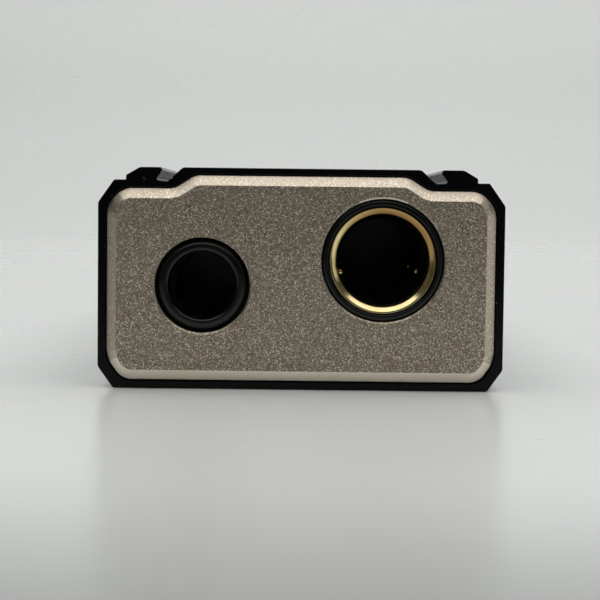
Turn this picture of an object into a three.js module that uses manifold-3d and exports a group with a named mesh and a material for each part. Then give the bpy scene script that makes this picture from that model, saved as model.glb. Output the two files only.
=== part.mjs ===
// Pocket headphone amplifier with a USB port at one end and two headphone jacks at the other.
// An extruded tube is closed by two end panels, and one circuit board slides into its side ribs.
// Millimetres. X is across, Y runs from the jacks (-Y) to the USB port (+Y) and Z is up.
// The origin is the middle of the bottom face.
import * as THREE from "three";
import { mergeVertices } from "three/addons/utils/BufferGeometryUtils.js";
import Module from "manifold-3d";

const wasm = await Module();
wasm.setup();

// Clearances
const contactGap = 0.02; // between faces that rest on each other
const fitGap = 0.05; // round a piece that sits in a recess
const slideGap = 0.12; // round a piece that moves in a hole

// Mesh fineness and construction
const roundSteps = 44; // facets round a turned piece
const curveSteps = 6; // facets along each rounded corner
const mergeDistance = 1e-4;
const past = 1; // how far a cut runs past the surface it opens

// Tube: overall sizes and walls
const bodyWidth = 22.4;
const bodyHeight = 12.2;
const tubeLength = 61;
const sideWall = 1;
const floorWall = 1;
const roofWall = 0.9;

// Tube: outside edges, measured in from the side face or down from the top
const bottomChamferAcross = 0.85;
const bottomChamferUp = 1.2;
const topChamferAcross = 0.88;
const topChamferDown = 1.95;
const ledgeDown = 0.7;
const railFootIn = 1.53;
const railFootDown = 0.45;
const railTopStartIn = 2.3;
const railTopEndIn = 3.45;
const railLipIn = 3.55;
const railLipDown = 0.18;
const undercutIn = 3.2;
const undercutDown = 0.62;
const grooveStartIn = 3.33;
const grooveEndIn = 3.84;
const grooveDown = 0.76;
const centreTopIn = 4.65;
const tubeEdge = 0.12; // rounding of the tube's long outer edges
const railEdge = 0.06; // rounding of the small edges of the rails and grooves

// Tube: inside
const cavityCorner = 0.4;
const ceilingStepOuterIn = 4.8;
const ceilingStepInnerIn = 5.3;
const ceilingStepEdge = 0.2;
const screwBossRadius = 1.15;
const screwPilotRadius = 0.55;
const screwIn = 2.3; // screw centre from the side face
const screwDown = 2.8; // screw centre from the top
const ribDepth = 0.9;
const ribThickness = 0.5;

// End panels
const panelRim = 0.5; // tube rim left showing at the sides and the bottom
const panelCentreDown = 0.42;
const panelShoulderDown = 1.15;
const panelShoulderIn = 4.2;
const panelCentreIn = 5.35;
const panelCornerAcross = 0.85;
const panelLowerCornerUp = 1.2;
const panelUpperCornerDown = 0.95;
const panelCornerBlend = 1.1; // rounding where a corner's slant meets the straight sides
const panelSweep = 0.8;
const panelChamfer = 0.55; // also how far a panel stands out of the tube
const panelSeat = 1.4; // how deep a panel sits in the tube
const holeEdge = 0.1; // small chamfer round each hole

// Circuit board
const boardBottom = 2.2;
const boardThickness = 1;
const boardSideGap = 0.25;
const boardEndGap = 0.2;
const boardCorner = 0.5;
const filmThickness = 0.12;

// 3.5 mm jack
const smallJackIn = 5.78; // jack axis from the left side face
const smallJackZ = 5.76;
const smallNoseRadius = 2.5;
const smallNoseRecess = 0.2;
const smallNoseLip = 0.34;
const smallMouthRadius = 1.915;
const smallMouthEdge = 0.2;
const smallMouthDepth = 1.4; // from the mouth to where the bore is straight
const smallBoreRadius = 1.8;
const smallBodyHalfWidth = 3.2;
const smallBodyAbove = 2.4;
const smallBodyLength = 14.4;

// 4.4 mm jack
const largeJackIn = 6.72; // jack axis from the right side face
const largeJackZ = 7.21;
const largeNoseRadius = 3.325;
const largeNoseRecess = 0.1;
const largeNoseWall = 0.335;
const largeNoseLip = 0.12;
const largeBoreRadius = 2.3;
const largeBodyHalfWidth = 3.1;
const largeBodyAbove = 3.2;
const largeBodyLength = 20.4;
const ringSetBack = 0.15;
const ringRimWidth = 0.4;
const ringLip = 0.08;
const ringCrown = 0.12; // front edge of the ring from its outside
const ringFunnelDepth = 0.23;
const ringLength = 2;

// Both jacks
const jackBackWall = 2; // moulded wall behind the bore
const noseRoot = 0.1; // how far the nose reaches into the body
const largeContactDrop = 0.8; // contacts of the 4.4 mm jack below its axis

// Spring contacts of both jacks
const contactWidth = 0.9;
const contactThickness = 0.25;
const contactFoot = 0.6;
const contactReach = 2.3;
const contactInset = 0.2; // foot behind the jack's side face
const contactBite = 0.3; // how far the bump reaches into the bore
const contactBumpAlong = 1.6; // bump from the foot's end of the leaf
const contactBumpRound = 0.3;
const contactTipLift = 0.35; // how far the leaf's tip bends back from the bore

// USB port
const portWidth = 8.94;
const portHeight = 3.26;
const portShellWall = 0.3;
const portLength = 7.35;
const portRecess = 0.05;
const tongueWidth = 6.69;
const tongueThickness = 0.7;
const tongueLength = 4.6;
const mouldedEdge = 0.1; // small corners of moulded pieces
const insulatorLength = 1.7;

// Volume keys, on the right side
const keyLength = 6.6;
const keyHeight = 2.6;
const keyZ = 6;
const keyProud = 0.35;
const keyTravel = 0.3;
const keyEdge = 0.2;
const keyPlaces = { volume_up: 1, volume_down: 10.5 };
const flangeOverlap = 0.5;
const flangeThickness = 0.5;
const plungerZ = 5.4;
const plungerLength = 1.15;
const plungerAcross = 1.5;
const plungerHeight = 1;
const switchSetBack = 1; // switch face behind the tube's inner wall
const switchDepth = 2.9;
const switchLength = 3.4;
const switchHeight = 3;

// Gain switch, on the left side
const gainY = 6;
const gainTravel = 2;
const gainKnobLength = 2.8;
const gainKnobHeight = 1.4;
const gainKnobProud = 0.3;
const gainKnobEdge = 0.1;
const gainCoverOver = 0.75; // cover behind the slot, past the knob above and below
const gainCoverCorner = 0.3;
const gainBodyLength = 6.6;
const gainBodyHeight = 3.2;
const gainLeverLength = 1.2;
const gainLeverHeight = 0.9;

// Screws of the rear panel
const screwHeadRadius = 1.1;
const screwThreadRadius = 0.45;
const screwLength = 5;
const screwHeadDepth = 0.65;
const screwHeadRim = 0.12;
const screwTipIn = 0.15;
const screwTipLength = 0.3;
const screwSocketRadius = 0.45;
const screwSocketDepth = 0.45;

// Status light
const lightAhead = 4.2; // light from the back of the USB port
const lightRadius = 0.6;
const lightRecess = 0.05;
const lampSize = 1.6;
const lampHeight = 0.6;
const lampCorner = 0.05;

// Parts on the board: size across, along and up
const amplifierChip = [4, 4, 0.9];
const converterChip = [5, 5, 0.9];
const clockCrystal = [3.2, 2.5, 0.9];
const bridgeChip = [7, 7, 0.9];
const powerInductor = [3, 3, 1.5];
const filterCapacitor = [2.8, 3.5, 1.9];
const shieldCan = [9, 9, 1.8];
const canWall = 0.2;
const canCorner = 0.4;
const packageCorner = 0.12;
const packageEdge = 0.08;
const partSpacing = 0.9; // between neighbouring parts on the board
const pairX = 3.2; // each of a left and right pair from the middle
const edgeMargin = 1.2; // part to the long edge of the board

// Values worked out from the sizes above
const halfWidth = bodyWidth / 2;
const halfTube = tubeLength / 2;
const innerHalf = halfWidth - sideWall;
const grooveFloor = bodyHeight - grooveDown;
const ceilingLow = grooveFloor - roofWall;
const ceilingHigh = bodyHeight - roofWall;
const faceY = halfTube + panelChamfer;
const panelBackY = halfTube - panelSeat + contactGap;
const jackFrontY = -(panelBackY - fitGap);
const boardTop = boardBottom + boardThickness;
const boardHalf = innerHalf - boardSideGap;
const boardHalfLength = panelBackY - boardEndGap;
const partsFloor = boardTop + contactGap;
const smallJackX = -(halfWidth - smallJackIn);
const largeJackX = halfWidth - largeJackIn;
const portZ = partsFloor + portHeight / 2;
const screwX = halfWidth - screwIn;
const screwZ = bodyHeight - screwDown;
const flangeFace = innerHalf - fitGap;
const flangeBack = flangeFace - flangeThickness;
const switchFace = innerHalf - switchSetBack;
const smallJackBack = jackFrontY + smallBodyLength;
const largeJackBack = jackFrontY + largeBodyLength;
const portBack = faceY - portRecess - portLength;
const lightY = portBack - lightAhead;
const amplifierY = largeJackBack + partSpacing + amplifierChip[1] / 2;
const converterY = amplifierY + (amplifierChip[1] + converterChip[1]) / 2 + partSpacing;
const clockY = converterY + (converterChip[1] + clockCrystal[1]) / 2 + partSpacing;
const capacitorX = boardHalf - edgeMargin - filterCapacitor[0] / 2;
const innerCapacitorX = capacitorX - filterCapacitor[0] - partSpacing;
const frontCapacitorY = smallJackBack + partSpacing + filterCapacitor[1] / 2;
const canY = lightY - (filterCapacitor[1] + shieldCan[1]) / 2 - partSpacing;

// Finishes
const finishes = {
  blackAluminium: [0x0b0c0d, 0.34, 1],
  bronzeAluminium: [0x756e63, 0.48, 1],
  gold: [0xd9b45a, 0.22, 1],
  blackPlastic: [0x101312, 0.45, 0],
  steel: [0x9a9c9e, 0.3, 1],
  board: [0x10241a, 0.5, 0],
  chip: [0x17181a, 0.55, 0],
  crystal: [0xc4c6c8, 0.3, 1],
  ferrite: [0x2a2b2e, 0.7, 0],
  tantalum: [0xb27a2c, 0.5, 0],
  film: [0x3a2c12, 0.4, 0],
  clearPlastic: [0xdfe6ea, 0.15, 0],
  lamp: [0xe8e6d2, 0.4, 0],
};

function solidFrom(geometry) {
  geometry.deleteAttribute("normal");
  geometry.deleteAttribute("uv");
  const merged = mergeVertices(geometry, mergeDistance);
  const mesh = new wasm.Mesh({
    numProp: 3,
    vertProperties: merged.attributes.position.array,
    triVerts: new Uint32Array(merged.index.array),
  });
  return new wasm.Manifold(mesh);
}

function geometryFrom(solid) {
  const mesh = solid.getMesh();
  const geometry = new THREE.BufferGeometry();
  geometry.setAttribute("position", new THREE.BufferAttribute(mesh.vertProperties, 3));
  geometry.setIndex(new THREE.BufferAttribute(mesh.triVerts, 1));
  geometry.computeVertexNormals();
  return geometry;
}

const amplifier = new THREE.Group();

function addPart(name, solid, finishName) {
  const [color, roughness, metalness] = finishes[finishName];
  const material = new THREE.MeshStandardMaterial({ color, roughness, metalness });
  const mesh = new THREE.Mesh(geometryFrom(solid), material);
  mesh.name = name;
  amplifier.add(mesh);
}

// A closed outline whose corners [x, y, radius] are rounded by the radius where it is given
function roundedOutline(corners) {
  const outline = new THREE.Shape();
  const count = corners.length;
  for (let i = 0; i < count; i += 1) {
    const [x, y, radius = 0] = corners[i];
    const corner = new THREE.Vector2(x, y);
    const before = new THREE.Vector2(...corners[(i + count - 1) % count]).sub(corner).normalize();
    const after = new THREE.Vector2(...corners[(i + 1) % count]).sub(corner).normalize();
    const halfAngle = Math.acos(before.dot(after)) / 2;
    const reach = radius / Math.tan(halfAngle);
    const start = corner.clone().addScaledVector(before, reach);
    const end = corner.clone().addScaledVector(after, reach);
    if (i === 0) outline.moveTo(start.x, start.y);
    else outline.lineTo(start.x, start.y);
    if (radius > 0) outline.quadraticCurveTo(corner.x, corner.y, end.x, end.y);
  }
  outline.closePath();
  return outline;
}

// The right half of an outline, bottom to top, and its mirror image
function mirroredOutline(rightHalf) {
  const leftHalf = rightHalf.map(([x, z, radius]) => [-x, z, radius]).reverse();
  return roundedOutline([...rightHalf, ...leftHalf]);
}

function rectangle(width, height, radius = 0, x = 0, y = 0) {
  const w = width / 2;
  const h = height / 2;
  return roundedOutline([
    [x - w, y - h, radius],
    [x + w, y - h, radius],
    [x + w, y + h, radius],
    [x - w, y + h, radius],
  ]);
}

// A slot with fully round ends, long in its first direction
function stadium(length, height, x = 0, y = 0) {
  const radius = height / 2;
  const straight = length / 2 - radius;
  const outline = new THREE.Shape();
  outline.absarc(x + straight, y, radius, -Math.PI / 2, Math.PI / 2, false);
  outline.absarc(x - straight, y, radius, Math.PI / 2, Math.PI * 1.5, false);
  outline.closePath();
  return outline;
}

function extruded(outline, depth, edge = 0) {
  return new THREE.ExtrudeGeometry(outline, {
    depth: depth - 2 * edge,
    curveSegments: curveSteps,
    bevelEnabled: edge > 0,
    bevelThickness: edge,
    bevelSize: edge,
    bevelOffset: -edge,
    bevelSegments: 1,
  }).translate(0, 0, edge);
}

// Outline in X and Z, swept along Y
function alongY(outline, fromY, toY, edge = 0) {
  const geometry = extruded(outline, toY - fromY, edge);
  return solidFrom(geometry.rotateX(Math.PI / 2).translate(0, toY, 0));
}

// Outline in Y and Z, swept along X
function alongX(outline, fromX, toX, edge = 0) {
  const turn = new THREE.Matrix4().makeBasis(
    new THREE.Vector3(0, 1, 0),
    new THREE.Vector3(0, 0, 1),
    new THREE.Vector3(1, 0, 0),
  );
  const geometry = extruded(outline, toX - fromX, edge);
  return solidFrom(geometry.applyMatrix4(turn).translate(fromX, 0, 0));
}

function alongZ(outline, fromZ, toZ, edge = 0) {
  return solidFrom(extruded(outline, toZ - fromZ, edge).translate(0, 0, fromZ));
}

function block(fromX, toX, fromY, toY, fromZ, toZ) {
  const geometry = new THREE.BoxGeometry(toX - fromX, toY - fromY, toZ - fromZ);
  const middle = [(fromX + toX) / 2, (fromY + toY) / 2, (fromZ + toZ) / 2];
  return solidFrom(geometry.translate(...middle));
}

// A profile of [radius, y] pairs turned about an axis along Y
function turned(profile, x, z) {
  const points = profile.map(([radius, y]) => new THREE.Vector2(radius, y));
  return solidFrom(new THREE.LatheGeometry(points, roundSteps).translate(x, 0, z));
}

function cylinderAlongY(radius, fromY, toY, x, z) {
  return turned([[0, fromY], [radius, fromY], [radius, toY], [0, toY]], x, z);
}

function mirroredX(solid) {
  return solid.mirror([1, 0, 0]);
}

// Tube

function tubeOutline() {
  const side = halfWidth;
  const top = bodyHeight;
  return mirroredOutline([
    [side - bottomChamferAcross, 0, tubeEdge],
    [side, bottomChamferUp, tubeEdge],
    [side, top - topChamferDown, tubeEdge],
    [side - topChamferAcross, top - ledgeDown, railEdge],
    [side - railFootIn, top - ledgeDown],
    [side - railFootIn, top - railFootDown, railEdge],
    [side - railTopStartIn, top, tubeEdge],
    [side - railTopEndIn, top, railEdge],
    [side - railLipIn, top - railLipDown, railEdge],
    [side - undercutIn, top - undercutDown, railEdge],
    [side - grooveStartIn, grooveFloor, railEdge],
    [side - grooveEndIn, grooveFloor, tubeEdge],
    [side - centreTopIn, top, tubeEdge],
  ]);
}

function cavityOutline() {
  return mirroredOutline([
    [innerHalf, floorWall, cavityCorner],
    [innerHalf, ceilingLow, cavityCorner],
    [halfWidth - ceilingStepOuterIn, ceilingLow, ceilingStepEdge],
    [halfWidth - ceilingStepInnerIn, ceilingHigh, ceilingStepEdge],
  ]);
}

// Outer edge of an end panel, made larger all round by grow
function panelOutline(grow = 0) {
  const side = halfWidth - panelRim + grow;
  const shoulder = bodyHeight - panelShoulderDown + grow;
  return mirroredOutline([
    [side - panelCornerAcross, panelRim - grow, panelCornerBlend],
    [side, panelRim - grow + panelLowerCornerUp, panelCornerBlend],
    [side, shoulder - panelUpperCornerDown, panelCornerBlend],
    [side - panelCornerAcross, shoulder, panelCornerBlend],
    [halfWidth - panelShoulderIn + grow / 2, shoulder, panelSweep],
    [halfWidth - panelCentreIn + grow / 2, bodyHeight - panelCentreDown + grow, panelSweep],
  ]);
}

// The corner block that holds a screw, on the right side
function screwBoss() {
  const inWall = sideWall / 2;
  const boss = new THREE.Shape();
  boss.moveTo(screwX - screwBossRadius, ceilingLow + inWall);
  boss.lineTo(screwX - screwBossRadius, screwZ);
  boss.absarc(screwX, screwZ, screwBossRadius, Math.PI, Math.PI * 1.5, false);
  boss.lineTo(innerHalf + inWall, screwZ - screwBossRadius);
  boss.lineTo(innerHalf + inWall, ceilingLow + inWall);
  boss.closePath();
  const end = halfTube - panelSeat;
  return alongY(boss, -end, end);
}

// The two ribs that hold one edge of the board, on the right side
function boardRibs() {
  const end = halfTube - panelSeat;
  const inner = innerHalf - ribDepth;
  const outer = innerHalf + sideWall / 2;
  const lower = boardBottom - fitGap;
  const upper = boardTop + fitGap;
  return block(inner, outer, -end, end, lower - ribThickness, lower)
    .add(block(inner, outer, -end, end, upper, upper + ribThickness));
}

function sideSlot(length, height, y, z, fromX, toX) {
  return alongX(stadium(length + 2 * slideGap, height + 2 * slideGap, y, z), fromX, toX);
}

function makeHousing() {
  let tube = alongY(tubeOutline(), -halfTube, halfTube);
  tube = tube.subtract(alongY(cavityOutline(), -halfTube - past, halfTube + past));
  const rebate = panelOutline(fitGap);
  const seat = halfTube - panelSeat;
  tube = tube.subtract(alongY(rebate, -halfTube - past, -seat));
  tube = tube.subtract(alongY(rebate, seat, halfTube + past));
  const fittings = screwBoss().add(boardRibs());
  tube = tube.add(fittings).add(mirroredX(fittings));
  for (const side of [-1, 1]) {
    const pilot = [-halfTube - past, halfTube + past, side * screwX, screwZ];
    tube = tube.subtract(cylinderAlongY(screwPilotRadius, ...pilot));
  }
  const inside = innerHalf - past;
  for (const y of Object.values(keyPlaces)) {
    tube = tube.subtract(sideSlot(keyLength, keyHeight, y, keyZ, inside, halfWidth + past));
  }
  const gainSlot = gainKnobLength + gainTravel;
  tube = tube.subtract(sideSlot(gainSlot, gainKnobHeight, gainY, keyZ, -halfWidth - past, -inside));
  const lightHole = new THREE.Shape();
  lightHole.absarc(0, lightY, lightRadius + fitGap, 0, Math.PI * 2, false);
  return tube.subtract(alongZ(lightHole, ceilingLow, bodyHeight + past));
}

// End panels

// Front panel without its holes: the chamfer faces -Y
function panelBlank() {
  const blank = alongY(panelOutline(), -faceY, -panelBackY + past, panelChamfer);
  return blank.subtract(block(-halfWidth, halfWidth, -panelBackY, 0, 0, bodyHeight));
}

// A round hole through a panel with its front edge broken
function panelHole(radius, x, z) {
  return turned([
    [0, -faceY - past],
    [radius + holeEdge + past, -faceY - past],
    [radius, -faceY + holeEdge],
    [radius, -panelBackY + past],
    [0, -panelBackY + past],
  ], x, z);
}

function makeFrontPanel() {
  return panelBlank()
    .subtract(panelHole(smallNoseRadius + slideGap, smallJackX, smallJackZ))
    .subtract(panelHole(largeNoseRadius + slideGap / 2, largeJackX, largeJackZ));
}

function makeRearPanel() {
  const sunk = screwHeadRadius + fitGap;
  const thread = screwThreadRadius + slideGap;
  let panel = panelBlank().mirror([0, 1, 0]);
  const portHole = stadium(portWidth + 2 * slideGap, portHeight + 2 * slideGap, 0, portZ);
  panel = panel.subtract(alongY(portHole, panelBackY - past, faceY + past));
  for (const side of [-1, 1]) {
    const sink = [
      [0, panelBackY - past],
      [thread, panelBackY - past],
      [thread, faceY - screwHeadDepth - holeEdge],
      [sunk, faceY - holeEdge - fitGap - screwHeadRim - fitGap],
      [sunk, faceY + past],
      [0, faceY + past],
    ];
    panel = panel.subtract(turned(sink, side * screwX, screwZ));
  }
  return panel;
}

function makeRearScrew(side) {
  const head = faceY - holeEdge - fitGap;
  const neck = head - screwHeadDepth + fitGap;
  const tip = head - screwLength;
  const screw = turned([
    [0, tip],
    [screwThreadRadius - screwTipIn, tip],
    [screwThreadRadius, tip + screwTipLength],
    [screwThreadRadius, neck],
    [screwHeadRadius, head - screwHeadRim],
    [screwHeadRadius, head],
    [0, head],
  ], side * screwX, screwZ);
  const socket = new THREE.CylinderGeometry(screwSocketRadius, screwSocketRadius, screwSocketDepth * 2, 6);
  return screw.subtract(solidFrom(socket.translate(side * screwX, head, screwZ)));
}

// Jacks

// Which side of the bore each contact is on, and how far its leaf starts behind the body's front
const smallContacts = {
  sleeve: [-1, 0.3],
  ring_2: [1, 3.2],
  ring_1: [-1, 5.9],
  tip: [1, 9],
};
const largeContacts = {
  sleeve: [-1, 0.4],
  ring_3: [1, 2.3],
  ring_2: [-1, 6.3],
  ring_1: [1, 9.5],
  tip: [-1, 13.3],
};

const smallJack = {
  prefix: "jack_3_5",
  x: smallJackX,
  z: smallJackZ,
  mouthY: -faceY + smallNoseRecess,
  boreRadius: smallBoreRadius,
  halfWidth: smallBodyHalfWidth,
  contactDrop: 0,
  contacts: smallContacts,
};
const largeJack = {
  prefix: "jack_4_4",
  x: largeJackX,
  z: largeJackZ,
  mouthY: -faceY + largeNoseRecess,
  boreRadius: largeBoreRadius,
  halfWidth: largeBodyHalfWidth,
  contactDrop: largeContactDrop,
  contacts: largeContacts,
};

// A leaf bent towards the bore, with a foot that goes down to the board
function springContact(jack, side, behind) {
  const outer = jack.halfWidth - contactInset;
  const bump = jack.boreRadius - contactBite;
  const start = jackFrontY + behind;
  const middle = start + contactBumpAlong;
  const end = start + contactReach;
  const thick = contactThickness;
  const leaf = roundedOutline([
    [outer, start],
    [outer, start + contactFoot],
    [bump + thick, middle, contactBumpRound],
    [bump + thick + contactTipLift, end],
    [bump + contactTipLift, end],
    [bump, middle, contactBumpRound],
    [outer - thick, start + contactFoot],
    [outer - thick, start],
  ]);
  const low = jack.z - jack.contactDrop - contactWidth / 2;
  const spring = alongZ(leaf, low, low + contactWidth);
  const footTop = low + contactWidth / 2;
  const foot = block(outer - thick, outer, start, start + contactFoot, partsFloor, footTop);
  const contact = spring.add(foot);
  const placed = side > 0 ? contact : mirroredX(contact);
  return placed.translate([jack.x, 0, 0]);
}

// The window in the jack's side for one contact, and the groove for its foot
function contactWindow(jack, side, behind) {
  const start = jackFrontY + behind - slideGap;
  const low = jack.z - jack.contactDrop - contactWidth / 2 - slideGap;
  const high = low + contactWidth + 2 * slideGap;
  const outer = jack.halfWidth + past;
  const footIn = jack.halfWidth - contactInset - contactThickness - slideGap;
  const window = block(jack.boreRadius / 2, outer, start, start + contactReach + 2 * slideGap, low, high);
  const groove = block(
    footIn, outer, start, start + contactFoot + 2 * slideGap, boardTop - past, low + slideGap,
  );
  const cut = window.add(groove);
  const placed = side > 0 ? cut : mirroredX(cut);
  return placed.translate([jack.x, 0, 0]);
}

function cutWindows(body, jack) {
  let cut = body;
  for (const [side, behind] of Object.values(jack.contacts)) {
    cut = cut.subtract(contactWindow(jack, side, behind));
  }
  return cut;
}

function jackBlock(jack, above, length) {
  const left = jack.x - jack.halfWidth;
  const right = jack.x + jack.halfWidth;
  return block(left, right, jackFrontY, jackFrontY + length, partsFloor, jack.z + above);
}

function makeSmallJackBody() {
  const jack = smallJack;
  const mouth = jack.mouthY;
  const boreEnd = smallJackBack - jackBackWall;
  const nose = turned([
    [0, mouth],
    [smallNoseRadius - smallNoseLip, mouth],
    [smallNoseRadius - smallNoseLip / 3, mouth + smallNoseLip / 3],
    [smallNoseRadius, mouth + smallNoseLip],
    [smallNoseRadius, jackFrontY + noseRoot],
    [0, jackFrontY + noseRoot],
  ], jack.x, jack.z);
  const bore = turned([
    [0, mouth - past],
    [smallMouthRadius + smallMouthEdge, mouth - past],
    [smallMouthRadius + smallMouthEdge, mouth],
    [smallMouthRadius + smallMouthEdge / 3, mouth + smallMouthEdge / 3],
    [smallMouthRadius, mouth + smallMouthEdge],
    [smallBoreRadius, mouth + smallMouthDepth],
    [smallBoreRadius, boreEnd],
    [0, boreEnd],
  ], jack.x, jack.z);
  const body = jackBlock(jack, smallBodyAbove, smallBodyLength).add(nose).subtract(bore);
  return cutWindows(body, jack);
}

function makeLargeJackBody() {
  const jack = largeJack;
  const mouth = jack.mouthY;
  const boreEnd = largeJackBack - jackBackWall;
  const ringSpace = largeNoseRadius - largeNoseWall;
  const nose = turned([
    [0, mouth],
    [largeNoseRadius - largeNoseLip, mouth],
    [largeNoseRadius, mouth + largeNoseLip],
    [largeNoseRadius, jackFrontY + noseRoot],
    [0, jackFrontY + noseRoot],
  ], jack.x, jack.z);
  const ringDepth = ringSetBack + ringLength + fitGap;
  const bore = turned([
    [0, mouth - past],
    [ringSpace, mouth - past],
    [ringSpace, mouth + ringDepth],
    [largeBoreRadius, mouth + ringDepth],
    [largeBoreRadius, boreEnd],
    [0, boreEnd],
  ], jack.x, jack.z);
  const body = jackBlock(jack, largeBodyAbove, largeBodyLength).add(nose).subtract(bore);
  return cutWindows(body, jack);
}

function makeEntryRing() {
  const outer = largeNoseRadius - largeNoseWall - fitGap;
  const inner = outer - ringRimWidth;
  const front = largeJack.mouthY + ringSetBack;
  const back = front + ringLength;
  return turned([
    [inner, front + ringFunnelDepth],
    [outer - ringCrown, front],
    [outer - ringLip, front],
    [outer, front + ringLip],
    [outer, back],
    [inner, back],
    [inner, front + ringFunnelDepth],
  ], largeJack.x, largeJack.z);
}

// USB port

function makePortShell() {
  const outside = stadium(portWidth, portHeight, 0, portZ);
  const inside = stadium(portWidth - 2 * portShellWall, portHeight - 2 * portShellWall, 0, portZ);
  const shell = alongY(outside, portBack, faceY - portRecess);
  return shell.subtract(alongY(inside, portBack - past, faceY + past));
}

function makePortTongue() {
  const back = portBack + fitGap;
  const shrink = 2 * (portShellWall + fitGap);
  const insulator = alongY(
    stadium(portWidth - shrink, portHeight - shrink, 0, portZ), back, back + insulatorLength,
  );
  const tongueOutline = rectangle(tongueWidth, tongueThickness, mouldedEdge, 0, portZ);
  const tongue = alongY(tongueOutline, back, back + insulatorLength + tongueLength);
  return insulator.add(tongue);
}

// Volume keys and their switches

function makeKey(y) {
  const capOutline = stadium(keyLength, keyHeight, y, keyZ);
  const cap = alongX(capOutline, flangeFace - keyEdge, halfWidth + keyProud, keyEdge);
  const flangeLength = keyLength + 2 * flangeOverlap;
  const flangeHeight = keyHeight + 2 * flangeOverlap;
  return cap.add(alongX(stadium(flangeLength, flangeHeight, y, keyZ), flangeBack, flangeFace));
}

function makePlunger(y) {
  const outer = flangeBack - contactGap;
  const outline = rectangle(plungerAcross, plungerHeight, mouldedEdge, y, plungerZ);
  return alongX(outline, outer - plungerLength, outer);
}

function makeKeySwitch(y) {
  const outline = rectangle(switchLength, switchHeight, mouldedEdge, y, partsFloor + switchHeight / 2);
  const body = alongX(outline, switchFace - switchDepth, switchFace);
  const hole = rectangle(plungerAcross + 2 * slideGap, plungerHeight + 2 * slideGap, 0, y, plungerZ);
  const depth = flangeBack - plungerLength - keyTravel - slideGap;
  return body.subtract(alongX(hole, depth, switchFace + past));
}

// Gain switch

// At rest the knob is at the -Y end of its slot
const knobY = gainY - gainTravel / 2;

function makeGainKnob() {
  const capOutline = stadium(gainKnobLength, gainKnobHeight, knobY, keyZ);
  const capBack = -flangeFace + gainKnobEdge;
  const cap = alongX(capOutline, -halfWidth - gainKnobProud, capBack, gainKnobEdge);
  const coverLength = gainKnobLength + 2 * (gainTravel + flangeOverlap);
  const coverHeight = gainKnobHeight + 2 * gainCoverOver;
  const cover = rectangle(coverLength, coverHeight, gainCoverCorner, knobY, keyZ);
  return cap.add(alongX(cover, -flangeFace, -flangeBack));
}

function makeGainLever() {
  const outer = -flangeBack + contactGap;
  const outline = rectangle(gainLeverLength, gainLeverHeight, mouldedEdge, knobY, plungerZ);
  return alongX(outline, outer, outer + plungerLength);
}

function makeGainSwitchBody() {
  const middleZ = partsFloor + gainBodyHeight / 2;
  const outline = rectangle(gainBodyLength, gainBodyHeight, mouldedEdge, gainY, middleZ);
  const body = alongX(outline, -switchFace, -switchFace + switchDepth);
  const slotLength = gainLeverLength + gainTravel + 2 * slideGap;
  const slot = rectangle(slotLength, gainLeverHeight + 2 * slideGap, 0, gainY, plungerZ);
  return body.subtract(alongX(slot, -switchFace - past, -flangeBack + plungerLength + slideGap));
}

// Board and the parts on it

function makeBoard() {
  const outline = rectangle(2 * boardHalf, 2 * boardHalfLength, boardCorner);
  return alongZ(outline, boardBottom, boardTop);
}

function makeFilm() {
  const low = floorWall + contactGap;
  const outline = rectangle(2 * (innerHalf - cavityCorner), 2 * boardHalfLength, boardCorner);
  return alongZ(outline, low, low + filmThickness);
}

function makeBoardPart(x, y, [across, along, up]) {
  return alongZ(rectangle(across, along, packageCorner, x, y), partsFloor, partsFloor + up, packageEdge);
}

function makeShieldCan() {
  const [across, along, up] = shieldCan;
  const outside = alongZ(rectangle(across, along, canCorner, 0, canY), partsFloor, partsFloor + up);
  const inside = rectangle(across - 2 * canWall, along - 2 * canWall, canCorner - canWall, 0, canY);
  return outside.subtract(alongZ(inside, boardTop - past, partsFloor + up - canWall));
}

function makeLamp() {
  const outline = rectangle(lampSize, lampSize / 2, lampCorner, 0, lightY);
  return alongZ(outline, partsFloor, partsFloor + lampHeight);
}

function makeLightPipe() {
  const outline = new THREE.Shape();
  outline.absarc(0, lightY, lightRadius, 0, Math.PI * 2, false);
  return alongZ(outline, partsFloor + lampHeight + fitGap, bodyHeight - lightRecess);
}

// Assembly

const boardParts = [
  ["amplifier_chip_left", -pairX, amplifierY, amplifierChip, "chip"],
  ["amplifier_chip_right", pairX, amplifierY, amplifierChip, "chip"],
  ["converter_chip_left", -pairX, converterY, converterChip, "chip"],
  ["converter_chip_right", pairX, converterY, converterChip, "chip"],
  ["clock_crystal_left", -pairX, clockY, clockCrystal, "crystal"],
  ["clock_crystal_right", pairX, clockY, clockCrystal, "crystal"],
  ["usb_bridge_chip", 0, canY, bridgeChip, "chip"],
  ["power_inductor", -innerCapacitorX, lightY, powerInductor, "ferrite"],
  ["filter_capacitor_1", -capacitorX, frontCapacitorY, filterCapacitor, "tantalum"],
  ["filter_capacitor_2", -innerCapacitorX, frontCapacitorY, filterCapacitor, "tantalum"],
  ["filter_capacitor_3", innerCapacitorX, lightY, filterCapacitor, "tantalum"],
  ["filter_capacitor_4", capacitorX, lightY, filterCapacitor, "tantalum"],
];

addPart("housing", makeHousing(), "blackAluminium");
addPart("front_panel", makeFrontPanel(), "bronzeAluminium");
addPart("rear_panel", makeRearPanel(), "bronzeAluminium");
addPart("rear_screw_left", makeRearScrew(-1), "steel");
addPart("rear_screw_right", makeRearScrew(1), "steel");

addPart("jack_3_5_body", makeSmallJackBody(), "blackPlastic");
addPart("jack_4_4_body", makeLargeJackBody(), "blackPlastic");
addPart("jack_4_4_entry_ring", makeEntryRing(), "gold");
for (const jack of [smallJack, largeJack]) {
  for (const [pole, [side, behind]] of Object.entries(jack.contacts)) {
    addPart(`${jack.prefix}_contact_${pole}`, springContact(jack, side, behind), "gold");
  }
}

addPart("usb_port_shell", makePortShell(), "steel");
addPart("usb_port_tongue", makePortTongue(), "blackPlastic");

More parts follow.
